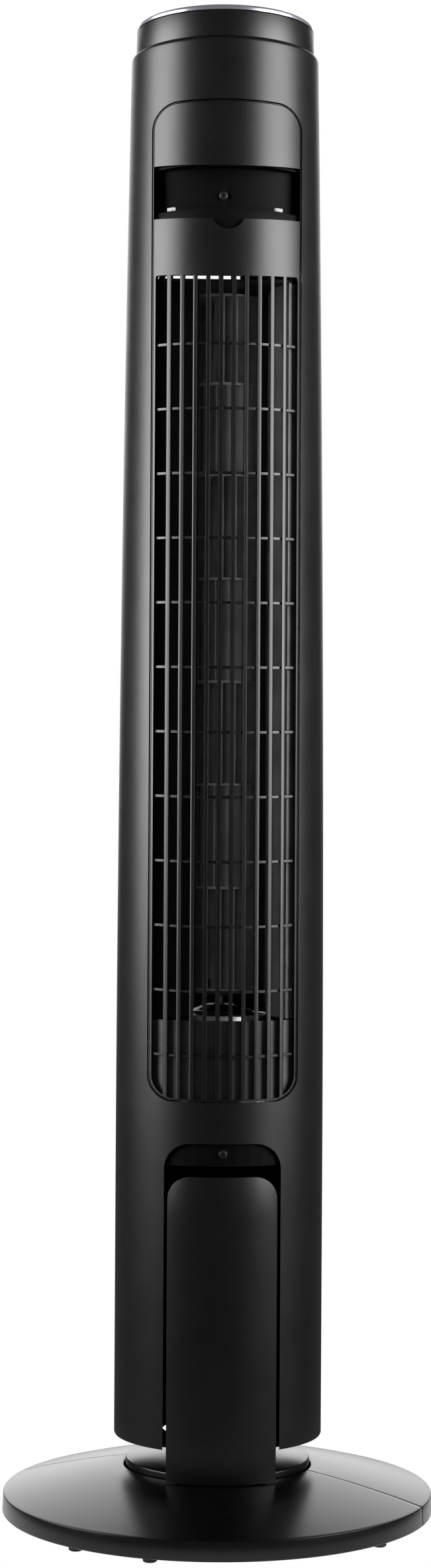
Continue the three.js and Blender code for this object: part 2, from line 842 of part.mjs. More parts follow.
function impeller() {
  const { radius, blades, discs, discThick, x, y } = IMPELLER;
  const solids = [];
  discs.forEach((z, i) => {
    const closed = i === 0 || i === discs.length - 1;
    const inner = closed ? 0 : radius - 8.6;
    const disc = drum(0, 0, radius, z, z + discThick, 24);
    solids.push(inner ? disc.subtract(drum(0, 0, inner, z - 1, z + 3, 12)) : disc);
  });
  for (let section = 0; section + 1 < discs.length; section++) {
    const stagger = section % 2 ? 180 / blades : 0;
    for (let i = 0; i < blades; i++) {
      const low = discs[section] + discThick / 2;
      solids.push(blade(low, discs[section + 1] + discThick / 2, stagger + (360 * i) / blades));
    }
  }
  solids.push(drum(0, 0, 8, discs[0] - 3.5, discs[0] + 8, 20));
  solids.push(drum(0, 0, 2.4, discs.at(-1) + 1, DUCT.high + 7, 16));
  solids.push(drum(0, 0, 6, discs.at(-1) + 1, DUCT.high - 0.6, 20));
  let body = wasm.Manifold.union(solids);
  body = body.subtract(drum(0, 0, IMPELLER.shaftRadius + 0.05, 300, discs[0] + 6, 20));
  return node("impeller", "darkPlastic", body.translate([x, y, 0]));
}

function motorShaft() {
  const shaft = drum(IMPELLER.x, IMPELLER.y, IMPELLER.shaftRadius - 0.3, 303.5, 371, 20);
  return node("motor_shaft", "chrome", shaft);
}

const MOTOR = { radius: 35.5, low: 300, high: 345, bore: 4.4 };

function motorCan() {
  const body = tube(IMPELLER.x, IMPELLER.y, MOTOR.bore, MOTOR.radius, MOTOR.low, MOTOR.high, 32);
  return node("motor_can", "steel", body);
}

function motorEndShield() {
  const { radius, high, bore } = MOTOR;
  const profile = [
    [9.6, 359.6],
    [21.5, 355.6],
    [30.4, 351],
    [radius - 1.5, 348.2],
    [radius - 1.5, high + GAP],
    [radius, high + GAP],
    [radius, 349],
    [31, 352.4],
    [22, 357.2],
    [10, 361.2],
    [bore, 361.2],
    [bore, 359.6],
  ];
  let body = turned(profile, 24);
  for (let i = 0; i < 6; i++) {
    body = body.subtract(box(-2.2, 2.2, 13, 20, 340, 370).rotate([0, 0, 60 * i + 7.5]));
  }
  return node("motor_end_shield", "chrome", body.translate([IMPELLER.x, IMPELLER.y, 0]));
}

function motorBracket() {
  const top = MOTOR.low - GAP;
  const plate = drum(0, 0, 62, top - 3, top, 32);
  const shaftHole = drum(IMPELLER.x, IMPELLER.y, 8, 280, 310, 20);
  const cableHole = drum(-48, 8, 6, 280, 310, 16);
  return node("motor_bracket", "steel", plate.subtract(shaftHole).subtract(cableHole));
}

function capacitor() {
  return node("motor_capacitor", "white", box(-60, -41, 2, 24, 300.2, 334));
}

// ---------------------------------------------------------------- top
function buttonPlaces() {
  const { count, pitch, y } = BUTTONS;
  return Array.from({ length: count }, (_, i) => [(i - (count - 1) / 2) * pitch, y]);
}

function buttonHoles(radius) {
  return buttonPlaces()
    .map(([x, y]) => drum(x, y, radius, CAP.ringLow - 20, CAP.ringLow + 20, 12))
    .reduce((all, hole) => all.add(hole));
}

function topCap() {
  const low = CAP.low + GAP;
  const under = CAP.ringLow - CAP.wall;
  const body = turned([
    [0, under],
    [CAP.radius - CAP.wall, under],
    [CAP.radius - CAP.wall + 0.2, low],
    [CAP.radius, low],
    [CAP.radius - 0.4, CAP.ringLow - GAP],
    [0, CAP.ringLow - GAP],
  ]);
  const openings = buttonHoles(BUTTONS.radius + 0.5).add(displayOpening(3));
  return node("top_cap", "satinBlack", body.subtract(openings));
}

function trimRing() {
  const { ringLow, ringWidth, top } = CAP;
  const outer = CAP.radius - 0.4;
  const profile = [
    [outer - ringWidth, ringLow],
    [outer, ringLow],
    [outer - 0.9, top - 1],
    [outer - 2.6, top],
    [outer - 4.6, top],
    [outer - ringWidth, top - 1],
  ];
  return node("trim_ring", "silver", turned(profile));
}

function displayOpening(gap) {
  const { x0, x1, y0, y1 } = DISPLAY;
  return box(x0 - gap, x1 + gap, y0 - gap, y1 + gap, CAP.ringLow - 10, CAP.ringLow + 10);
}

function controlPanel() {
  const radius = CAP.radius - CAP.ringWidth - 0.8;
  const plate = drum(0, 0, radius, CAP.ringLow, CAP.ringLow + PANEL_THICK, 48);
  const body = plate.subtract(buttonHoles(BUTTONS.radius + 0.3)).subtract(displayOpening(DISPLAY.gap));
  return node("control_panel", "gloss", body);
}

function displayLens() {
  const { x0, x1, y0, y1, thick } = DISPLAY;
  const low = CAP.ringLow + 0.6;
  return node("display_lens", "gloss", box(x0, x1, y0, y1, low, low + thick));
}

function buttons() {
  const { radius, proud, flangeRadius, flangeThick, low } = BUTTONS;
  return buttonPlaces().map(([x, y], i) => {
    const stem = drum(x, y, radius, low, CAP.ringLow + PANEL_THICK + proud, 12);
    const flange = drum(x, y, flangeRadius, low, low + flangeThick, 12);
    return node(`button_${i + 1}`, "gloss", stem.add(flange));
  });
}

function controlBoard() {
  let board = drum(0, 0, 52, 1041.4, 1043, 32);
  for (const [x, y] of buttonPlaces()) {
    board = board.add(box(x - 3, x + 3, y - 3, y + 3, 1042, 1045.2));
  }
  return node("control_board", "board", board);
}

// ---------------------------------------------------------------- assembly
const fan = new THREE.Group();
fan.name = "tower_fan";
fan.add(
  baseHalf("base_rear_half", 0),
  baseHalf("base_front_half", 180),
  cordGland(),
  bottomPlate(),
  ...feet(),
  swivelHub(),
  bearingRing(),
  swingMotor(),
  ...baseScrews(),
  swingPinion(),
  swingGear(),
  turntableDisc(),
  retainingRing(),
  neckColumn(),
  neckPanel(),
  frontHousing(),
  rearHousing(),
  bottomCover(),
  archHood(),
  screw("arch_screw", 0, ARCH.screwZ, -(TOWER.radius - TOWER.wall - GAP) - 1.8, 9),
  frontInsert(),
  upperInsertPanel(),
  backingPanel(),
  remotePocket(),
  screw("pocket_screw", POCKET.screwX, POCKET.screwZ, -53.8, 9),
  ...pocketPads(),
  scrollWall(),
  tongueWall(),
  ductCeiling(),
  upperBearing(),
  rearGrille(),
  impeller(),
  motorShaft(),
  motorCan(),
  motorEndShield(),
  motorBracket(),
  capacitor(),
  topCap(),
  trimRing(),
  controlPanel(),
  displayLens(),
  controlBoard(),
  ...buttons(),
);

export default fan;
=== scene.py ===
"""Tower fan on a round two-piece base: its looks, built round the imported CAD. Metres, +Z up, front -Y."""

import math

import bpy
import bmesh
from mathutils import Matrix, Vector


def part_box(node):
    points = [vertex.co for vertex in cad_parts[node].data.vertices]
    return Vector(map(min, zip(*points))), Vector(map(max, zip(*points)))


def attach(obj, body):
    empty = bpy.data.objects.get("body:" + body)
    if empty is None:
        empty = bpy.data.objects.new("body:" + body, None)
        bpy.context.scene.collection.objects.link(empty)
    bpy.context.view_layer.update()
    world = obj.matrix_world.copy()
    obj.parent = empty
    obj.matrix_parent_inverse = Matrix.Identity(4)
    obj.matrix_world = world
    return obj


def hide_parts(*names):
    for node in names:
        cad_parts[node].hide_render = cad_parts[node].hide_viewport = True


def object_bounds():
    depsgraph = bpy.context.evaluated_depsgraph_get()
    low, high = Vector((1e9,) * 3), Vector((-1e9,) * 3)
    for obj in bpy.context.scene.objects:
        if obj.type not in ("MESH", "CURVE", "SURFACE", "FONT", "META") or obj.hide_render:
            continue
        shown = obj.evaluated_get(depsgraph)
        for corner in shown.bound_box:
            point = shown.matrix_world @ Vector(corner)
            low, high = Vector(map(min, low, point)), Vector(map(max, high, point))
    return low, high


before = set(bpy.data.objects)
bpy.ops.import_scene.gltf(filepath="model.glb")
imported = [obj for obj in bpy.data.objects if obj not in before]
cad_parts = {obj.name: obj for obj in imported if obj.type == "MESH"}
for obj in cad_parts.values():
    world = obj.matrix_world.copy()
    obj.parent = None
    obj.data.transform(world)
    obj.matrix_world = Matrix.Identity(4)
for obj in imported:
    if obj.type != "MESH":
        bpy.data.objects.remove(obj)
cad_low, cad_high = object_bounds()

# ------------------------------------------------------------------ driving dimensions
AXIS_DISTANCE = 2.007
CAMERA_HEIGHT = 0.485
CAMERA_AZIMUTH = -2.3  # degrees, positive to the right of the front
CAMERA_ROLL = 0.33
CAMERA_LENS = 64.7
SENSOR = 36.0
SHIFT = (-0.0034, 0.0297)

# The bright patch behind the fan: a direction's Y plus RISE times its Z says where it starts and is full.
BACKDROP_LIGHT = 2.3
BACKDROP_EDGE = (0.93, 1.03)
BACKDROP_RISE = 0.42
ROOM_LIGHT = 0.09
FLOOR_RADIUS = 0.215
FLOOR_GLOW = (0.128, 0.14)  # distances from the axis where the floor starts to glow and glows fully
# azimuth, distance, height, (width, height), spread, power
LEFT_BOX = (-82.0, 1.9, 1.22, (1.6, 1.6), 85.0, 22.0)
RIGHT_BOX = (64.0, 1.9, 1.22, (1.6, 1.6), 85.0, 23.0)

TAPER_START = 0.230
TAPER_END = 1.033
TAPER_DEPTH = 0.0072
TAPER_POWER = 2.0
WALL = 0.0026

# How far cutters reach: in Y through the front and the back, in Z through the top.
FRONT_CUT = (-0.09, -0.02)
BACK_CUT = (0.02, 0.09)
TOP_CUT = (1.03, 1.07)
CUT_GAP = 0.0004

tower_low, tower_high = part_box("rear_housing")
TOWER_RADIUS = tower_high.x
TOWER_BOTTOM = tower_low.z
TOWER_TOP = tower_high.z

insert_low, insert_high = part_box("front_insert")
INSERT_HALF = insert_high.x
INSERT_BOTTOM = insert_low.z
INSERT_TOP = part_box("upper_insert_panel")[1].z
INSERT_CORNERS = (0.0175, 0.017)  # lower, upper
INSERT_THICK = 0.003

BEAD = {"centre": 0.00068, "half": 0.00032, "inside": 0.0013}
OUTLET = {"half": 0.0495, "low": 0.3002, "high": 0.867, "corner": 0.0158, "rise": 0.0031}
BARS = {"count": 10, "pitch": 0.00895, "width": 0.0028, "depth": 0.0042}
RIBS = {"count": 12, "first": 0.3292, "pitch": 0.04466, "height": 0.002, "rise": 0.0013}
WINDOW = {"low": 0.9062, "high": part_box("upper_insert_panel")[0].z, "rise": 0.0033}
NOTCH = {"radius": 0.0118, "z": 0.911}
ARCH = {"half": 0.0404, "top": 0.2696, "corner": 0.018}
INTAKE = {"bars": 9, "pitch": 0.0091, "ribs": 11, "corner": 0.014}
HOLDER = {"half": 0.0484, "wall": 0.0017, "centre": 0.034, "radius": 0.086, "lip_top": 0.914}
IMPELLER = {"y": 0.008, "radius": 0.028, "blades": 18, "lean": 32.0, "disc": 0.002}
IMPELLER_DISCS = (0.371, 0.4435, 0.5164, 0.589, 0.6617, 0.735, 0.7993, 0.862)
SHIELD = {"lip_top": 0.3547, "slots": 8}
NECK = {"inset": 0.0004, "thick": 0.0024, "corner": 0.016}
NECK_WEB = {"half": 0.003, "front": -0.0711, "back": -0.0304, "low": 0.0446, "high": 0.225}
SCREW = {"bore": 0.0003, "shank": 0.0014, "slot": 0.0018, "slot_half": 0.00035}
BASE = {"hole": 0.0662, "crown": 0.0168}
BASE_SEAM = 67.0  # degrees right of the front
SEAM_GAP = {"base": 0.00018, "tower": 0.00016}  # what each half shell stands back from its seam
BUTTONS = 5


def tower_radius(z):
    t = max(0.0, (z - TAPER_START) / (TAPER_END - TAPER_START))
    return TOWER_RADIUS - TAPER_DEPTH * t**TAPER_POWER


# ------------------------------------------------------------------ camera, floor and light
def make_camera():
    data = bpy.data.cameras.new("camera")
    data.sensor_width = SENSOR
    data.lens = CAMERA_LENS
    data.shift_x, data.shift_y = SHIFT
    data.clip_start = 0.05
    data.clip_end = 60
    camera = bpy.data.objects.new("camera", data)
    bpy.context.scene.collection.objects.link(camera)
    a = math.radians(CAMERA_AZIMUTH)
    place = Vector((AXIS_DISTANCE * math.sin(a), -AXIS_DISTANCE * math.cos(a), CAMERA_HEIGHT))
    turn = Matrix.Rotation(a, 4, "Z") @ Matrix.Rotation(math.pi / 2, 4, "X")
    roll = Matrix.Rotation(math.radians(CAMERA_ROLL), 4, "Z")
    camera.matrix_world = Matrix.Translation(place) @ turn @ roll
    bpy.context.scene.camera = camera


make_camera()


def node_tree(name):
    material = bpy.data.materials.new(name)
    material.use_nodes = True
    nodes = material.node_tree.nodes
    return material, nodes, material.node_tree.links, nodes["Principled BSDF"]


def make_floor():
    """A small pale sheet that glows away from the base and meets the white surroundings at its edge."""
    mesh = bpy.data.meshes.new("floor")
    bm = bmesh.new()
    bmesh.ops.create_circle(bm, cap_ends=True, segments=96, radius=FLOOR_RADIUS)
    bm.to_mesh(mesh)
    bm.free()
    floor = bpy.data.objects.new("floor", mesh)
    bpy.context.scene.collection.objects.link(floor)
    material, nodes, links, shader = node_tree("floor_paper")
    shader.inputs["Base Color"].default_value = (0.85, 0.85, 0.85, 1)
    shader.inputs["Roughness"].default_value = 0.7
    glow = nodes.new("ShaderNodeEmission")
    glow.inputs["Color"].default_value = (1, 1, 1, 1)
    glow.inputs["Strength"].default_value = 1.0
    mix = nodes.new("ShaderNodeMixShader")
    where = nodes.new("ShaderNodeTexCoord")
    length = nodes.new("ShaderNodeVectorMath")
    length.operation = "LENGTH"
    fade = nodes.new("ShaderNodeMapRange")
    fade.interpolation_type = "SMOOTHSTEP"
    fade.inputs["From Min"].default_value, fade.inputs["From Max"].default_value = FLOOR_GLOW
    links.new(where.outputs["Object"], length.inputs[0])
    links.new(length.outputs["Value"], fade.inputs["Value"])
    links.new(fade.outputs["Result"], mix.inputs["Fac"])
    links.new(shader.outputs["BSDF"], mix.inputs[1])
    links.new(glow.outputs["Emission"], mix.inputs[2])
    links.new(mix.outputs["Shader"], nodes["Material Output"].inputs["Surface"])
    mesh.materials.append(material)


def softbox(name, place, target, width, height, spread, power):
    data = bpy.data.lights.new(name, "AREA")
    data.shape = "RECTANGLE"
    data.size = width
    data.size_y = height
    data.energy = power
    data.spread = math.radians(spread)
    light = bpy.data.objects.new(name, data)
    light.location = place
    light.rotation_euler = (Vector(target) - Vector(place)).to_track_quat("-Z", "Y").to_euler()
    bpy.context.scene.collection.objects.link(light)
    light.visible_camera = False


def world_light():
    """White to look at; as light, a bright patch behind the fan and a dim room elsewhere."""
    world = bpy.data.worlds.new("studio")
    world.use_nodes = True
    nodes, links = world.node_tree.nodes, world.node_tree.links
    white = nodes["Background"]
    white.inputs["Color"].default_value = (1, 1, 1, 1)
    white.inputs["Strength"].default_value = 1.0
    room = nodes.new("ShaderNodeBackground")
    room.inputs["Color"].default_value = (1, 1, 1, 1)
    where = nodes.new("ShaderNodeTexCoord")
    apart = nodes.new("ShaderNodeSeparateXYZ")
    patch = nodes.new("ShaderNodeMapRange")
    patch.interpolation_type = "SMOOTHSTEP"
    patch.inputs["From Min"].default_value, patch.inputs["From Max"].default_value = BACKDROP_EDGE
    patch.inputs["To Min"].default_value = ROOM_LIGHT
    patch.inputs["To Max"].default_value = BACKDROP_LIGHT
    links.new(where.outputs["Generated"], apart.inputs["Vector"])
    raised = nodes.new("ShaderNodeMath")
    raised.operation = "MULTIPLY_ADD"
    raised.inputs[1].default_value = BACKDROP_RISE
    links.new(apart.outputs["Z"], raised.inputs[0])
    links.new(apart.outputs["Y"], raised.inputs[2])
    links.new(raised.outputs["Value"], patch.inputs["Value"])
    links.new(patch.outputs["Result"], room.inputs["Strength"])
    path = nodes.new("ShaderNodeLightPath")
    mix = nodes.new("ShaderNodeMixShader")
    links.new(path.outputs["Is Camera Ray"], mix.inputs["Fac"])
    links.new(room.outputs["Background"], mix.inputs[1])
    links.new(white.outputs["Background"], mix.inputs[2])
    links.new(mix.outputs["Shader"], nodes["World Output"].inputs["Surface"])
    bpy.context.scene.world = world


def side_box(name, azimuth, distance, height, size, spread, power):
    """A softbox at an azimuth from the front, positive to the right, facing the tower."""
    a = math.radians(azimuth)
    where = (distance * math.sin(a), -distance * math.cos(a), height)
    softbox(name, where, (0, 0, height), *size, spread, power)


def make_lights():
    world_light()
    side_box("left_box", *LEFT_BOX)
    side_box("right_box", *RIGHT_BOX)


bpy.context.scene.view_settings.view_transform = "Standard"
make_floor()
make_lights()


# ------------------------------------------------------------------ materials
def textured(
    name,
    color,
    roughness,
    grain=2600.0,
    bump=0.12,
    vary=0.25,
    metallic=0.0,
    coat=0.0,
    streak=None,
    uneven=1.0,
    shine=0.5,
):
    """A moulded or metal surface: mottled colour, uneven gloss, and a fine grain in relief."""
    material, nodes, links, shader = node_tree(name)
    shader.inputs["Metallic"].default_value = metallic
    shader.inputs["Coat Weight"].default_value = coat
    shader.inputs["Coat Roughness"].default_value = 0.12
    shader.inputs["Specular IOR Level"].default_value = shine
    where = nodes.new("ShaderNodeTexCoord")
    source = where.outputs["Object"]
    if streak:
        stretch = nodes.new("ShaderNodeMapping")
        stretch.inputs["Scale"].default_value = streak
        links.new(source, stretch.inputs["Vector"])
        source = stretch.outputs["Vector"]

    cloud = nodes.new("ShaderNodeTexNoise")
    cloud.inputs["Scale"].default_value = 42.0
    cloud.inputs["Detail"].default_value = 5.0
    links.new(source, cloud.inputs["Vector"])
    ramp = nodes.new("ShaderNodeValToRGB")
    ramp.color_ramp.elements[0].position = 0.3
    ramp.color_ramp.elements[1].position = 0.72
    ramp.color_ramp.elements[0].color = [c * (1 - vary) for c in color] + [1]
    ramp.color_ramp.elements[1].color = [min(1, c * (1 + vary)) for c in color] + [1]
    links.new(cloud.outputs["Fac"], ramp.inputs["Fac"])
    links.new(ramp.outputs["Color"], shader.inputs["Base Color"])

    gloss = nodes.new("ShaderNodeMapRange")
    gloss.inputs["To Min"].default_value = roughness * (1 - 0.10 * uneven)
    gloss.inputs["To Max"].default_value = roughness * (1 + 0.12 * uneven)
    links.new(cloud.outputs["Fac"], gloss.inputs["Value"])
    links.new(gloss.outputs["Result"], shader.inputs["Roughness"])

    fine = nodes.new("ShaderNodeTexNoise")
    fine.inputs["Scale"].default_value = grain
    fine.inputs["Detail"].default_value = 2.0
    links.new(source, fine.inputs["Vector"])
    relief = nodes.new("ShaderNodeBump")
    relief.inputs["Strength"].default_value = bump
    relief.inputs["Distance"].default_value = 0.0002
    links.new(fine.outputs["Fac"], relief.inputs["Height"])
    links.new(relief.outputs["Normal"], shader.inputs["Normal"])
    return material


# look: colour, roughness and what else differs from the defaults of textured
LOOKS = {
    "satin_black": ((0.0030, 0.0029, 0.0030), 0.34, dict(bump=0.25)),
    "base_black": ((0.0030, 0.0029, 0.0030), 0.27, dict(bump=0.05, uneven=0.2, shine=0.32)),
    "dark_plastic": ((0.006, 0.0058, 0.0058), 0.55, dict(bump=0.3)),
    # painted light: the impeller's black plastic is coloured light grey to stand in for the light on its
    # blades
    "rotor_painted_light": ((0.34, 0.34, 0.345), 0.36, dict(bump=0.15)),
    "gloss_black": ((0.008, 0.008, 0.009), 0.12, dict(grain=900, bump=0.02, coat=0.6)),
    "light_pad": ((0.46, 0.46, 0.47), 0.7, dict(grain=1800, bump=0.4)),
    "silver_trim": ((0.62, 0.61, 0.68), 0.24, dict(grain=3200, bump=0.06, vary=0.05, metallic=0.85)),
    "steel": ((0.5, 0.5, 0.5), 0.34, dict(grain=1500, bump=0.1, vary=0.12, metallic=1.0, streak=(1, 1, 12))),
    "black_screw": ((0.02, 0.02, 0.021), 0.4, dict(grain=1500, bump=0.1, vary=0.1, metallic=0.3)),
    # painted shade: the remote holder and the arch's inner band are coloured darker and duller than the
    # other black plastic, standing in for the shade in their recesses
    "recess_painted_shade": ((0.0016, 0.0015, 0.0015), 0.6, dict(bump=0.2, shine=0.09)),
    # painted shadow: the duct's tongue wall is coloured near black and dull to stand in for the shade behind
    # the outlet bars
    "duct_painted_shadow": ((0.0010, 0.0010, 0.0010), 0.75, dict(bump=0.2, shine=0.08)),
    # painted light: the duct's scroll wall, black plastic, is coloured light grey to stand in for the lit
    # strip beside the last bar
    "duct_painted_light": ((0.2, 0.198, 0.198), 0.45, dict(bump=0.2)),
    # painted shade: the motor shield's dome is coloured darker than its bright metal lip
    "shield_painted_shade": ((0.03, 0.03, 0.032), 0.3, dict(metallic=0.6, bump=0.2)),
    # painted light: the black backing panel behind the outlet bars is coloured grey to stand in for the
    # light on it
    "backing_painted_light": ((0.09, 0.088, 0.088), 0.5, dict(bump=0.2)),
    "bright_metal": ((0.85, 0.85, 0.85), 0.4, dict(grain=1200, bump=0.08, vary=0.08, metallic=1.0)),
    "rubber_black": ((0.012, 0.012, 0.012), 0.85, dict(grain=1400, bump=0.5)),
    "white_pom": ((0.75, 0.74, 0.69), 0.45, dict(grain=2000, bump=0.12, vary=0.06)),
    "board_green": ((0.03, 0.16, 0.06), 0.4, dict(grain=700, bump=0.2, vary=0.3)),
    "display_lens": ((0.010, 0.007, 0.009), 0.08, dict(grain=900, bump=0.01, coat=0.9)),
    "legend_grey": ((0.55, 0.55, 0.56), 0.5, dict(grain=1800, bump=0.05, vary=0.08)),
}
MATERIALS = {look: textured(look, color, gloss, **more) for look, (color, gloss, more) in LOOKS.items()}


# ------------------------------------------------------------------ mesh building
def to_object(name, bm):
    mesh = bpy.data.meshes.new(name)
    bmesh.ops.recalc_face_normals(bm, faces=bm.faces)
    bm.to_mesh(mesh)
    bm.free()
    obj = bpy.data.objects.new(name, mesh)
    bpy.context.scene.collection.objects.link(obj)
    return obj


def add_loops(bm, loops, closed_ends=True, closed_path=False):
    """Joins rows of points, each row a closed ring, into a skin."""
    rows = [[bm.verts.new(p) for p in loop] for loop in loops]
    count = len(rows[0])
    pairs = list(zip(rows, rows[1:]))
    if closed_path:
        pairs.append((rows[-1], rows[0]))
    for near, far in pairs:
        for i in range(count):
            j = (i + 1) % count
            bm.faces.new((near[i], near[j], far[j], far[i]))
    if closed_ends and not closed_path:
        bm.faces.new(list(reversed(rows[0])))
        bm.faces.new(rows[-1])


def lathe(name, profile, segments=160, start=0.0, sweep=360.0, centre=(0.0, 0.0)):
    """A closed profile of (radius, z), turned about an upright axis from the front towards the right."""
    bm = bmesh.new()
    whole = sweep >= 360
    count = segments if whole else segments + 1
    loops = []
    for i in range(count):
        a = math.radians(start + sweep * i / segments)
        loops.append([(centre[0] + r * math.sin(a), centre[1] - r * math.cos(a), z) for r, z in profile])
    add_loops(bm, loops, closed_path=whole)
    bmesh.ops.remove_doubles(bm, verts=bm.verts, dist=1e-7)
    return to_object(name, bm)


def rounded(half, low, high, low_corner, high_corner, steps=14):
    """The (x, z) outline of a rectangle with rounded corners."""
    corners = [
        (half, high, high_corner, 0),
        (-half, high, high_corner, 90),
        (-half, low, low_corner, 180),
        (half, low, low_corner, 270),
    ]
    outline = []
    for x, z, r, start in corners:
        cx = x - math.copysign(r, x)
        cz = z - r if z == high else z + r
        for i in range(steps + 1 if r > 0 else 1):
            a = math.radians(start + 90 * i / steps)
            outline.append((cx + r * math.cos(a), cz + r * math.sin(a)))
    return outline


def bowed(half, low, high, low_corner, high_corner, low_rise, high_rise, steps=24):
    """The same outline with its lower and upper edges bowed, so that their ends stand higher."""
    outline = rounded(half, low, high, low_corner, high_corner)
    points = []
    for (x0, z0), (x1, z1) in zip(outline, outline[1:] + outline[:1]):
        points.append((x0, z0))
        if abs(z1 - z0) < 1e-9 and abs(x1 - x0) > half:
            points += [(x0 + (x1 - x0) * k / steps, z0) for k in range(1, steps)]
    middle = (low + high) / 2
    return [(x, z + (high_rise if z > middle else low_rise) * (x / half) ** 2) for x, z in points]


def prism_y(name, outline, y0, y1):
    bm = bmesh.new()
    add_loops(bm, [[(x, y0, z) for x, z in outline], [(x, y1, z) for x, z in outline]])
    return to_object(name, bm)


def prism_z(name, outline, z0, z1):
    bm = bmesh.new()
    add_loops(bm, [[(x, y, z0) for x, y in outline], [(x, y, z1) for x, y in outline]])
    return to_object(name, bm)


def circle(radius, count=48, centre=(0.0, 0.0)):
    turn = [2 * math.pi * i / count for i in range(count)]
    return [(centre[0] + radius * math.cos(a), centre[1] + radius * math.sin(a)) for a in turn]


def bake(obj):
    """Applies the modifiers by taking the evaluated mesh."""
    graph = bpy.context.evaluated_depsgraph_get()
    mesh = bpy.data.meshes.new_from_object(obj.evaluated_get(graph))
    obj.modifiers.clear()
    obj.data = mesh
    return obj


def combine(obj, other, operation="DIFFERENCE"):
    modifier = obj.modifiers.new("cut", "BOOLEAN")
    modifier.operation = operation
    modifier.solver = "EXACT"
    modifier.object = other
    bake(obj)
    bpy.data.objects.remove(other)
    return obj


def merge(target, *others):
    """Puts the others' meshes into target as loose shells."""
    bm = bmesh.new()
    bm.from_mesh(target.data)
    for other in others:
        bm.from_mesh(other.data)
        bpy.data.objects.remove(other)
    bm.to_mesh(target.data)
    bm.free()
    return target


def soften(obj, width=0.0004, segments=2, angle=32):
    """Rounds the edges, then shades smoothly between the sharp ones."""
    if width > 0:
        modifier = obj.modifiers.new("round", "BEVEL")
        modifier.width = width
        modifier.segments = segments
        modifier.limit_method = "ANGLE"
        modifier.angle_limit = math.radians(angle)
        bake(obj)
    obj.data.shade_smooth()
    obj.data.set_sharp_from_angle(angle=math.radians(angle))
    return obj


def even_normals(obj):
    """Weights the shading by face size, so that cut edges leave no smears on the broad faces."""
    modifier = obj.modifiers.new("even", "WEIGHTED_NORMAL")
    modifier.keep_sharp = True
    modifier.weight = 80
    return bake(obj)


def place(obj, body, look, *nodes):
    """Gives a piece its material and slot, and hangs it on its CAD body."""
    obj.data.materials.clear()
    obj.data.materials.append(MATERIALS[look])
    if nodes:
        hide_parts(*nodes)
    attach(obj, body)
    return obj


def levels(low, high, step=0.02):
    count = max(2, round((high - low) / step))
    return [low + (high - low) * i / count for i in range(count + 1)]


# ------------------------------------------------------------------ base
def base_profile():
    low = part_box("base_front_half")[0].z
    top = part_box("base_front_half")[1].z
    rim = cad_high.x
    hole = BASE["hole"]
    crown = BASE["crown"]
    slope = [(0.1494, 0.0174), (0.143, 0.0192), (0.132, 0.0222)]
    slope += [(0.118, 0.0255), (0.100, 0.0296), (0.082, 0.0330)]
    outer = [
        (rim - 0.0006, low),
        (rim, low + 0.0008),
        (rim - 0.0004, low + 0.007),
        (rim - 0.0006, crown - 0.0002),
        (rim - 0.0009, crown),
    ]
    neck = [(hole + 0.0012, top - 0.0001), (hole + 0.0003, top - 0.0007), (hole, top - 0.0016)]
    neck += [(hole, 0.020), (hole + 0.003, 0.020)]
    inner = [(hole + 0.003, top - 0.0046), (0.095, 0.0279), (0.125, 0.0212), (0.1472, 0.0135)]
    return [*outer, *slope, *neck, *inner, (rim - 0.003, low)]


def base_half(name, start):
    middle_radius = 0.11
    gap = math.degrees(SEAM_GAP["base"] / middle_radius)
    shell = lathe(name, base_profile(), 128, start + gap, 180 - 2 * gap)
    soften(shell, 0.00035, 2, 38)
    place(shell, "base", "base_black", name)


def feet():
    for i in range(1, 7):
        name = f"rubber_foot_{i}"
        low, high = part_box(name)
        centre = (low + high) / 2
        r = (high.x - low.x) / 2
        profile = [(0.0004, low.z), (r - 0.0012, low.z), (r - 0.0002, low.z + 0.0007)]
        profile += [(r, high.z), (0.0004, high.z)]
        foot = lathe(f"foot_{i}", profile, 40, centre=(centre.x, centre.y))
        place(soften(foot, 0), "base", "rubber_black", name)


base_half("base_front_half", BASE_SEAM - 180)
base_half("base_rear_half", BASE_SEAM)
feet()


def turntable():
    low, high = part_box("turntable_disc")
    r = high.x
    profile = [
        (0.0095, high.z),
        (0.03, high.z),
        (r - 0.0012, high.z),
        (r - 0.0004, high.z - 0.0004),
        (r, high.z - 0.0012),
        (r, 0.0342),
        (r - 0.0028, 0.0342),
        (r - 0.0028, high.z - 0.003),
        (0.0142, high.z - 0.003),
        (0.0142, low.z),
        (0.0095, low.z),
    ]
    disc = lathe("turntable", profile, 144)
    place(soften(disc, 0.0002, 2, 38), "tower", "base_black", "turntable_disc")


turntable()


# ------------------------------------------------------------------ tower shells
def shell_profile():
    crown = tower_radius(TOWER_TOP)
    outer = [(TOWER_RADIUS - 0.0014, TOWER_BOTTOM), (TOWER_RADIUS - 0.0004, TOWER_BOTTOM + 0.0004)]
    outer += [(TOWER_RADIUS, TOWER_BOTTOM + 0.0014)]
    outer += [(tower_radius(z), z) for z in levels(TOWER_BOTTOM + 0.02, TOWER_TOP - 0.006, 0.024)]
    for i in range(7):
        a = math.radians(90 * i / 6)
        outer.append((crown - 0.003 + 0.003 * math.cos(a), TOWER_TOP - 0.003 + 0.003 * math.sin(a)))
    lip = [(crown - 0.006, TOWER_TOP), (crown - 0.006, TOWER_TOP - 0.0026)]
    lip += [(crown - 0.0036, TOWER_TOP - 0.004)]
    inner_levels = levels(TOWER_BOTTOM + 0.02, TOWER_TOP - 0.008, 0.06)
    inner = [(tower_radius(z) - WALL, z) for z in reversed(inner_levels)]
    return [*outer, *lip, *inner, (TOWER_RADIUS - WALL, TOWER_BOTTOM)]


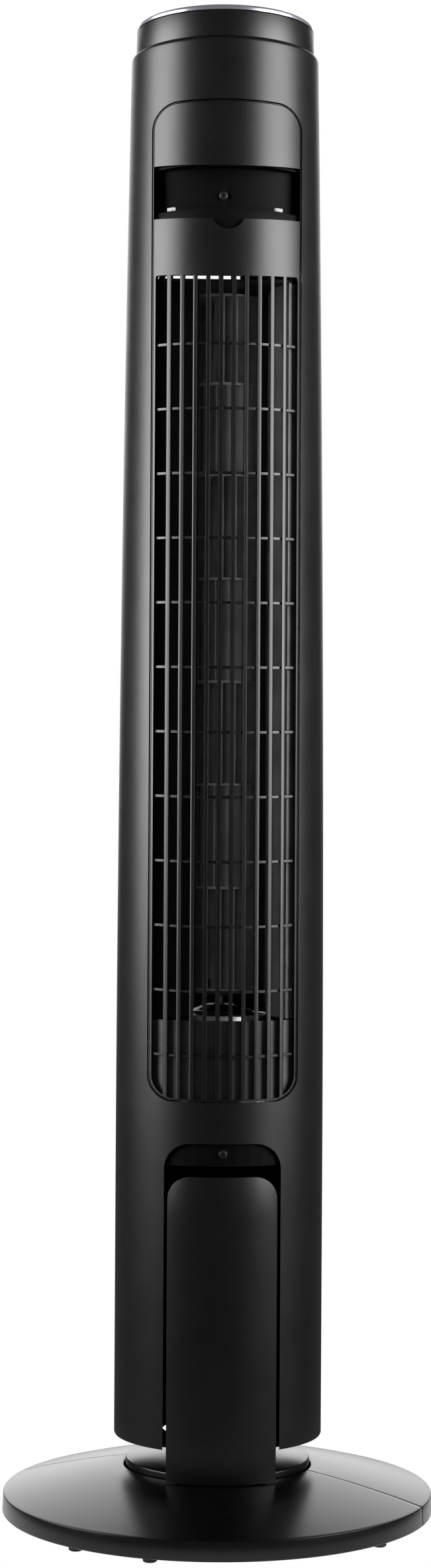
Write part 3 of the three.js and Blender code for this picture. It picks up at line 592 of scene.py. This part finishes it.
def housing(name, start):
    gap = math.degrees(SEAM_GAP["tower"] / TOWER_RADIUS)
    return lathe(name, shell_profile(), 96, start + gap, 180 - 2 * gap)


def insert_outline(grow):
    low, high = (corner + grow for corner in INSERT_CORNERS)
    return rounded(INSERT_HALF + grow, INSERT_BOTTOM - grow, INSERT_TOP + grow, low, high)


def intake_outline(grow):
    low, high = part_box("rear_intake_grille")
    corner = INTAKE["corner"] + grow
    return rounded(high.x + grow, low.z - grow, high.z + grow, corner, corner)


def front_housing():
    shell = housing("front_housing_shell", -90)
    combine(shell, prism_y("insert_cut", insert_outline(CUT_GAP), *FRONT_CUT))
    arch = rounded(ARCH["half"], 0.03, ARCH["top"], 0, ARCH["corner"])
    combine(shell, prism_y("arch_cut", arch, *FRONT_CUT))
    place(even_normals(soften(shell, 0.0005)), "tower", "satin_black", "front_housing")


def rear_housing():
    shell = housing("rear_housing_shell", 90)
    combine(shell, prism_y("intake_cut", intake_outline(CUT_GAP), *BACK_CUT))
    place(even_normals(soften(shell, 0.0005)), "tower", "satin_black", "rear_housing")


def surface_point(x, z, lift=0.0, side=-1):
    r = tower_radius(z) + lift
    return Vector((x, side * math.sqrt(max(r * r - x * x, 0)), z))


def arc_wall(name, low, high, outer, inner, reach, step=0.02, segments=72, side=-1):
    """A wall that follows the tower between two depths, as far round as |x| = reach."""
    angle = math.degrees(math.asin(reach / (TOWER_RADIUS - 0.008))) + 2
    rows = levels(low, high, step)
    profile = [(tower_radius(z) - outer, z) for z in rows]
    profile += [(tower_radius(z) - inner, z) for z in reversed(rows)]
    middle = 0 if side < 0 else 180
    return lathe(name, profile, segments, middle - angle, 2 * angle)


def upright_bar(bm, x, low, high, width, depth, side=-1, face=0.0002):
    """One bar whose face follows the tower's curve."""
    half = width / 2
    section = [(-half, depth), (-half, 0.0004), (-half * 0.8, 0.00005), (-half * 0.3, 0), (half * 0.3, 0)]
    section += [(half * 0.8, 0.00005), (half, 0.0004), (half, depth)]
    loops = []
    for z in levels(low, high, 0.03):
        ring = []
        for s, d in section:
            y = math.sqrt((tower_radius(z) - face) ** 2 - (x + s) ** 2)
            ring.append((x + s, side * (y - d), z))
        loops.append(ring)
    add_loops(bm, loops)


def cross_rib(bm, z, reach, front, back, height, side=-1, rise=0.0):
    r = tower_radius(z)
    turn = math.asin(min(0.99, reach / r))
    count = 28
    lip = front + 0.0004
    section = ((front, -0.4), (front, 0.4), (lip, 0.5), (back, 0.3), (back, -0.3), (lip, -0.5))
    loops = []
    for i in range(count + 1):
        a = -turn + 2 * turn * i / count
        ring = []
        for d, h in section:
            x = (r - d) * math.sin(a)
            ring.append((x, side * (r - d) * math.cos(a), z + h * height + rise * (x / reach) ** 2))
        loops.append(ring)
    add_loops(bm, loops)


def insert_piece(name, outline):
    low, high = INSERT_BOTTOM - 0.002, INSERT_TOP + 0.002
    panel = arc_wall(name, low, high, 0.0002, INSERT_THICK, INSERT_HALF)
    return combine(panel, prism_y("outline", outline, *FRONT_CUT), "INTERSECT")


def front_insert():
    inside = BEAD["inside"]
    corner = INSERT_CORNERS[0] - inside
    half = INSERT_HALF - inside
    outline = bowed(half, INSERT_BOTTOM + inside, WINDOW["low"], corner, 0, 0, WINDOW["rise"])
    panel = insert_piece("outlet_insert", outline)
    mouth = bowed(OUTLET["half"], OUTLET["low"], OUTLET["high"], OUTLET["corner"], 0.0015, 0, OUTLET["rise"])
    combine(panel, prism_y("mouth", mouth, *FRONT_CUT))
    notch = [(x, z + NOTCH["z"]) for x, z in circle(NOTCH["radius"], 64)]
    combine(panel, prism_y("notch", notch, *FRONT_CUT))
    even_normals(soften(panel, 0.0004))

    bm = bmesh.new()
    for i in range(BARS["count"]):
        x = (i - (BARS["count"] - 1) / 2) * BARS["pitch"]
        past = max(0, abs(x) - half + corner)
        lift = corner - math.sqrt(corner**2 - past**2)
        top = OUTLET["high"] + 0.001 + OUTLET["rise"] * (x / OUTLET["half"]) ** 2
        upright_bar(bm, x, INSERT_BOTTOM + inside + 0.0003 + lift, top, BARS["width"], BARS["depth"])
    for i in range(RIBS["count"]):
        z = RIBS["first"] + i * RIBS["pitch"]
        cross_rib(bm, z, OUTLET["half"] + 0.0004, 0.0018, 0.0042, RIBS["height"], rise=RIBS["rise"])
    bars = to_object("outlet_bars", bm)
    soften(bars, 0, angle=40)
    place(merge(panel, bars), "tower", "satin_black", "front_insert")


def upper_panel():
    inside = BEAD["inside"]
    corner = INSERT_CORNERS[1] - inside
    half = INSERT_HALF - inside
    outline = bowed(half, WINDOW["high"], INSERT_TOP - inside, 0, corner, WINDOW["rise"], 0)
    panel = insert_piece("upper_panel", outline)
    place(even_normals(soften(panel, 0.0004)), "tower", "satin_black", "upper_insert_panel")


def insert_border():
    """The fine bead that runs round the insert, just inside its edge."""
    outline = insert_outline(-BEAD["centre"])
    half = BEAD["half"]
    section = ((-1, -0.0012), (-1, -0.0003), (-0.6, -0.0001), (0.6, -0.0001), (1, -0.0003), (1, -0.0012))
    path = []
    for (x0, z0), (x1, z1) in zip(outline, outline[1:] + outline[:1]):
        steps = max(1, round(math.hypot(x1 - x0, z1 - z0) / 0.012))
        path += [(x0 + (x1 - x0) * i / steps, z0 + (z1 - z0) * i / steps) for i in range(steps)]
    bm = bmesh.new()
    loops = []
    count = len(path)
    for i in range(count):
        x, z = path[i]
        before, after = path[i - 1], path[(i + 1) % count]
        along = Vector((after[0] - before[0], after[1] - before[1])).normalized()
        across = Vector((along.y, -along.x))
        ring = []
        for s, lift in section:
            ring.append(surface_point(x + across.x * s * half, z + across.y * s * half, lift))
        loops.append(ring)
    add_loops(bm, loops, closed_path=True)
    place(soften(to_object("insert_border", bm), 0, angle=60), "tower", "satin_black")


def rear_grille():
    low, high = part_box("rear_intake_grille")
    rim = 0.004
    panel = arc_wall("intake_grille", low.z - 0.002, high.z + 0.002, 0.0002, WALL, high.x, side=1)
    combine(panel, prism_y("outline", intake_outline(0), *BACK_CUT), "INTERSECT")
    inner = rounded(high.x - rim, low.z + rim, high.z - rim, 0.010, 0.010)
    combine(panel, prism_y("mouth", inner, *BACK_CUT))
    soften(panel, 0.0004)
    bm = bmesh.new()
    for i in range(INTAKE["bars"]):
        x = (i - (INTAKE["bars"] - 1) / 2) * INTAKE["pitch"]
        upright_bar(bm, x, low.z + 0.003, high.z - 0.003, BARS["width"], BARS["depth"], side=1)
    pitch = (high.z - low.z) / (INTAKE["ribs"] + 1)
    for i in range(INTAKE["ribs"]):
        cross_rib(bm, low.z + pitch * (i + 1), high.x - rim + 0.0004, 0.0014, 0.0042, RIBS["height"], side=1)
    bars = to_object("intake_bars", bm)
    soften(bars, 0, angle=40)
    place(merge(panel, bars), "tower", "satin_black", "rear_intake_grille")


front_housing()
rear_housing()
front_insert()
upper_panel()
insert_border()
rear_grille()


# ------------------------------------------------------------------ neck
def neck_panel():
    low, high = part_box("neck_front_panel")
    outer = TOWER_RADIUS - NECK["inset"]
    rows = levels(low.z, high.z, 0.03)
    profile = [(outer, z) for z in rows] + [(outer - NECK["thick"], z) for z in reversed(rows)]
    turn = math.degrees(math.asin(high.x / outer)) + 2
    panel = lathe("neck_panel", profile, 72, -turn, 2 * turn)
    outline = rounded(high.x, low.z, high.z, 0, NECK["corner"], 20)
    combine(panel, prism_y("outline", outline, *FRONT_CUT), "INTERSECT")
    soften(panel, 0.0007, 3)
    half, front, back = NECK_WEB["half"], NECK_WEB["front"], NECK_WEB["back"]
    plan = [(-half, front), (half, front), (half, back), (-half, back)]
    web = prism_z("web", plan, NECK_WEB["low"], NECK_WEB["high"])
    place(merge(panel, soften(web, 0.0004)), "tower", "satin_black", "neck_front_panel")


neck_panel()


# ------------------------------------------------------------------ remote holder
def screw(name, cad, body):
    """A pan-head screw with a cross recess, whose head faces the front."""
    low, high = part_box(cad)
    centre = (low + high) / 2
    r = (high.z - low.z) / 2
    bore, shank_radius, length = SCREW["bore"], SCREW["shank"], high.y - low.y
    head = [(bore, 0.0014), (bore, -0.0002), (r * 0.55, -0.00012), (r * 0.85, 0.0002)]
    head += [(r, 0.0008), (r, 0.0016)]
    stem = [(shank_radius, 0.0016), (shank_radius, length), (bore, length)]
    shank = lathe(name, head + stem, 40)
    reach, half = SCREW["slot"], SCREW["slot_half"]
    slot_plan = [(-reach, -half), (reach, -half), (reach, half), (-reach, half)]
    for turn in (0, 90):
        slot_shape = prism_z("slot", slot_plan, -0.001, 0.0009)
        slot_shape.data.transform(Matrix.Rotation(math.radians(turn), 4, "Z"))
        combine(shank, slot_shape)
    soften(shank, 0.0001, 2)
    shank.data.transform(Matrix.Rotation(-math.pi / 2, 4, "X"))
    shank.data.transform(Matrix.Translation((centre.x, low.y, centre.z)))
    place(shank, body, "black_screw", cad)


def remote_holder():
    """The open tray behind the window: a curved back, floor and ceiling, and a lip across the front."""
    low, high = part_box("remote_pocket")
    reach = HOLDER["half"] + HOLDER["wall"]
    centre, radius, wall = HOLDER["centre"], HOLDER["radius"], HOLDER["wall"]
    offset = INSERT_THICK + 0.00035

    def arc(r, half, middle, steps):
        turn = math.asin(half / r)
        return [(r * math.sin(turn * k / 16), middle - r * math.cos(turn * k / 16)) for k in steps]

    def plan(half, front_offset, back_radius):
        front = arc(tower_radius(high.z) - front_offset, half, 0, range(-16, 17))
        return front + arc(back_radius, half, centre, range(16, -17, -1))

    tray = prism_z("remote_holder", plan(reach, offset, radius - wall), low.z, high.z)
    hollow = plan(HOLDER["half"], offset - 0.008, radius)
    combine(tray, prism_z("hollow", hollow, low.z + wall, high.z - wall))
    screw_low, screw_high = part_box("pocket_screw")
    middle = (screw_low.z + screw_high.z) / 2
    combine(tray, prism_y("hole", [(x, z + middle) for x, z in circle(0.0018, 24)], -0.06, -0.04))
    soften(tray, 0.0005)
    lip_reach = high.x
    lip = arc_wall("lip", low.z, HOLDER["lip_top"], offset, offset + 0.002, lip_reach, 0.005)
    outline = rounded(lip_reach, low.z - 0.01, HOLDER["lip_top"] + 0.01, 0, 0)
    combine(lip, prism_y("reach", outline, -0.09, 0), "INTERSECT")
    soften(lip, 0.0004)
    # the tray and lip are coloured darker than the housing as painted shade in the recess
    place(merge(tray, lip), "tower", "recess_painted_shade", "remote_pocket")


def remote_pad(cad):
    low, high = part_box(cad)
    centre = (low + high) / 2
    half = Vector((0.003, 0.001))
    outline = rounded(half.x, -half.y, half.y, 0.0004, 0.0004, 4)
    pad = prism_z(cad.replace("remote_", "holder_"), outline, low.z, high.z)
    pad.data.transform(Matrix.Rotation(math.atan2(centre.x, -centre.y), 4, "Z"))
    pad.data.transform(Matrix.Translation((centre.x, centre.y, 0)))
    place(soften(pad, 0.0003), "tower", "light_pad", cad)


remote_holder()
screw("holder_screw", "pocket_screw", "tower")
screw("arch_band_screw", "arch_screw", "tower")
remote_pad("remote_pad_left")
remote_pad("remote_pad_right")


# ------------------------------------------------------------------ impeller and motor
def curved_blade(bm, low, high, angle):
    """One forward-curved blade: a thin arc in plan, standing between two discs."""
    r = IMPELLER["radius"]
    inner, outer = r - 0.0072, r - 0.0006
    count = 5
    front, back = [], []
    for i in range(count + 1):
        t = i / count
        radius = inner + (outer - inner) * t
        a = angle + math.radians(IMPELLER["lean"]) * 0.35 * (t + 0.6 * t * t)
        front.append((radius, a))
        back.append((radius, a + 0.0009 / radius))
    ring = [(p * math.sin(a), IMPELLER["y"] - p * math.cos(a)) for p, a in front + back[::-1]]
    add_loops(bm, [[(x, y, low) for x, y in ring], [(x, y, high) for x, y in ring]])


def impeller():
    low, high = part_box("impeller")
    discs = IMPELLER_DISCS
    thick = IMPELLER["disc"]
    bm = bmesh.new()
    for section, (z0, z1) in enumerate(zip(discs, discs[1:])):
        stagger = math.pi / IMPELLER["blades"] * (section % 2)
        for i in range(IMPELLER["blades"]):
            curved_blade(bm, z0 + thick / 2, z1 + thick / 2, stagger + 2 * math.pi * i / IMPELLER["blades"])
    rotor = to_object("cross_flow_impeller", bm)
    r = IMPELLER["radius"]
    rings = []
    for i, z in enumerate(discs):
        inner = 0.0045 if i in (0, len(discs) - 1) else r - 0.0086
        profile = [(inner, z), (r - 0.0003, z), (r, z + 0.0003), (r, z + thick - 0.0003)]
        profile += [(r - 0.0003, z + thick), (inner, z + thick)]
        rings.append(lathe(f"disc_{i}", profile, 72, centre=(0, IMPELLER["y"])))
    hub_top = discs[0] + 0.008
    hub = [(0.0042, low.z), (0.0078, low.z), (0.008, low.z + 0.0004), (0.008, hub_top), (0.0042, hub_top)]
    rings.append(lathe("hub", hub, 40, centre=(0, IMPELLER["y"])))
    top = discs[-1] + thick
    boss = [(0.0004, top), (0.006, top), (0.006, top + 0.0018), (0.0024, top + 0.002)]
    boss += [(0.0024, high.z), (0.0004, high.z)]
    rings.append(lathe("boss", boss, 40, centre=(0, IMPELLER["y"])))
    # the impeller gets a light grey colour as painted light on its black plastic blades
    place(soften(merge(rotor, *rings), 0, angle=35), "impeller_rotor", "rotor_painted_light", "impeller")


def end_shield():
    """The motor's end shield: a bright pressed lip round a slotted dome, whose colour is darker than the lip
    as painted shade.
    """
    low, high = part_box("motor_end_shield")
    r = high.x
    axis = (0, IMPELLER["y"])
    lip_top = SHIELD["lip_top"]
    lip = [(r, low.z), (r, lip_top - 0.0011), (r - 0.0004, lip_top - 0.0003), (r - 0.0012, lip_top)]
    lip += [(r - 0.0021, lip_top - 0.0004), (r - 0.0024, lip_top - 0.0012), (r - 0.0024, low.z)]
    ring = lathe("motor_shield_lip", lip, 96, centre=axis)
    place(soften(ring, 0.0002), "tower", "bright_metal", "motor_end_shield")

    edge = r - 0.0027
    outer = [(edge, 0.3512), (edge, 0.3534), (0.0315, 0.3537), (0.0313, 0.3545), (0.0300, 0.3545)]
    outer += [(0.0298, 0.3538), (0.0235, 0.3560), (0.0233, 0.3568), (0.0222, 0.3572), (0.0218, 0.3568)]
    outer += [(0.016, 0.3590), (0.010, 0.3612), (0.0044, 0.3612)]
    inner = [(0.0044, 0.3588), (0.010, 0.3588), (0.021, 0.3548), (0.030, 0.3518), (edge - 0.0012, 0.3512)]
    dome = lathe("motor_front_shield", [*outer, *inner], 96, centre=axis)
    for i in range(SHIELD["slots"]):
        slot_shape = prism_z("slot", rounded(0.0026, 0.0135, 0.0205, 0.0024, 0.0024, 6), 0.33, 0.38)
        slot_shape.data.transform(Matrix.Rotation(math.radians(360 / SHIELD["slots"] * i), 4, "Z"))
        slot_shape.data.transform(Matrix.Translation((*axis, 0)))
        combine(dome, slot_shape)
    # the dome is coloured dark as painted shade
    place(soften(dome, 0.0002), "tower", "shield_painted_shade", "motor_end_shield")


impeller()
end_shield()


# ------------------------------------------------------------------ top
def top_cap():
    low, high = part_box("top_cap")
    r = high.x
    profile = [
        (0.0004, high.z),
        (r - 0.0012, high.z),
        (r - 0.0004, high.z - 0.0006),
        (r, low.z + 0.0004),
        (r - 0.0003, low.z),
        (r - 0.0024, low.z),
        (r - 0.0026, high.z - 0.0023),
        (0.0004, high.z - 0.0023),
    ]
    cap = lathe("cap", profile, 144)
    for name in button_names():
        cut_round(cap, name, 0.0055)
    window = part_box("display_lens")
    outline = rounded(0.020, window[0].y - 0.003, window[1].y + 0.003, 0.001, 0.001, 4)
    combine(cap, prism_z("window", outline, *TOP_CUT))
    place(soften(cap, 0.0002), "tower", "satin_black", "top_cap")


def button_names():
    return [f"button_{i}" for i in range(1, BUTTONS + 1)]


def cut_round(obj, button, radius):
    low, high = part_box(button)
    centre = ((low.x + high.x) / 2, (low.y + high.y) / 2)
    combine(obj, prism_z("hole", circle(radius, 40, centre), *TOP_CUT))


def trim_ring():
    low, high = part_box("trim_ring")
    r = high.x
    profile = [(r - 0.0064, low.z), (r, low.z)]
    for i in range(9):
        a = math.radians(90 * i / 8)
        profile.append((r - 0.0032 + 0.0032 * math.cos(a), high.z - 0.0026 + 0.0026 * math.sin(a)))
    for i in range(1, 9):
        a = math.radians(90 + 90 * i / 8)
        profile.append((r - 0.0044 + 0.0020 * math.cos(a), high.z - 0.0015 + 0.0015 * math.sin(a)))
    place(soften(lathe("silver_ring", profile, 160), 0, angle=50), "tower", "silver_trim", "trim_ring")


def control_panel():
    low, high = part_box("control_panel")
    r = high.x
    profile = [(0.0004, high.z), (r - 0.0006, high.z), (r, high.z - 0.0005), (r, low.z), (0.0004, low.z)]
    plate = lathe("control_plate", profile, 120)
    for name in button_names():
        cut_round(plate, name, 0.0053)
    a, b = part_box("display_lens")
    outline = rounded(b.x + 0.0003, a.y - 0.0003, b.y + 0.0003, 0.0012, 0.0012, 6)
    combine(plate, prism_z("window", outline, *TOP_CUT))
    place(soften(plate, 0.0002), "tower", "gloss_black", "control_panel")


def display():
    low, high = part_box("display_lens")
    lens = prism_z("display_window", rounded(high.x, low.y, high.y, 0.001, 0.001, 6), low.z, high.z)
    place(soften(lens, 0.0003), "tower", "display_lens", "display_lens")


def button_caps():
    for i, name in enumerate(button_names()):
        low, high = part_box(name)
        centre = ((low.x + high.x) / 2, (low.y + high.y) / 2)
        flange = (high.x - low.x) / 2
        stem = 0.005
        profile = [(0.0004, high.z - 0.0005), (stem * 0.6, high.z - 0.0003), (stem * 0.86, high.z)]
        profile += [(stem - 0.0002, high.z - 0.0003), (stem, high.z - 0.0009)]
        profile += [(stem, low.z + 0.0012), (flange, low.z + 0.0012), (flange, low.z), (0.0004, low.z)]
        cap = lathe(f"push_{name}", profile, 56, centre=centre)
        place(soften(cap, 0, angle=40), name, "gloss_black", name)
        legend(f"legend_{i + 1}", centre, high.z - 0.00035, i, name)


def legend(name, centre, z, kind, body):
    """A small generic mark on a button: an open or whole ring on the outer two, and bars on the rest."""
    height = 0.0002
    if kind in (0, BUTTONS - 1):
        start, sweep = (25, 310) if kind == 0 else (0, 360)
        profile = [(0.0017, z), (0.0021, z), (0.0021, z + height), (0.0017, z + height)]
        mark = lathe(name, profile, 48, start + 180, sweep, centre)
    else:
        half = 0.0003
        bm = bmesh.new()
        for i in range(kind + 1):
            x = centre[0] + (i - kind / 2) * 0.0012
            low = centre[1] - 0.0008 - 0.0005 * i
            high = centre[1] + 0.0008 + 0.0005 * i
            ring = [(x - half, low), (x + half, low), (x + half, high), (x - half, high)]
            add_loops(bm, [[(px, py, z) for px, py in ring], [(px, py, z + height) for px, py in ring]])
        mark = to_object(name, bm)
    place(soften(mark, 0), body, "legend_grey")


top_cap()
trim_ring()
control_panel()
display()
button_caps()


# ------------------------------------------------------------------ CAD nodes that stay
KEPT = {
    "dark_plastic": ["swivel_hub", "neck_column", "housing_bottom_cover", "duct_ceiling"],
    # the scroll wall is coloured light grey as painted light
    "duct_painted_light": ["duct_scroll_wall"],
    # the arch's inner band is coloured darker as painted shade in the arch's recess
    "recess_painted_shade": ["arch_inner_band"],
    # the tongue wall is coloured near black as painted shadow
    "duct_painted_shadow": ["duct_tongue_wall"],
    # the backing panel is coloured grey as painted light
    "backing_painted_light": ["outlet_backing_panel"],
    "steel": ["base_weight_plate", "swing_motor", "swivel_retaining_ring", "motor_can", "motor_bracket"]
    + [f"base_screw_{i}" for i in range(1, 5)],
    "white_pom": ["swivel_bearing_ring", "swing_pinion", "swing_gear", "motor_capacitor"],
    "bright_metal": ["motor_shaft"],
    "rubber_black": ["cord_inlet_gland", "impeller_top_bearing"],
    "board_green": ["control_board"],
}


def dress_kept_nodes():
    for look, names in KEPT.items():
        for name in names:
            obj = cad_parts[name]
            obj.data.materials.clear()
            obj.data.materials.append(MATERIALS[look])
            obj.data.shade_smooth()
            obj.data.set_sharp_from_angle(angle=math.radians(25))


dress_kept_nodes()
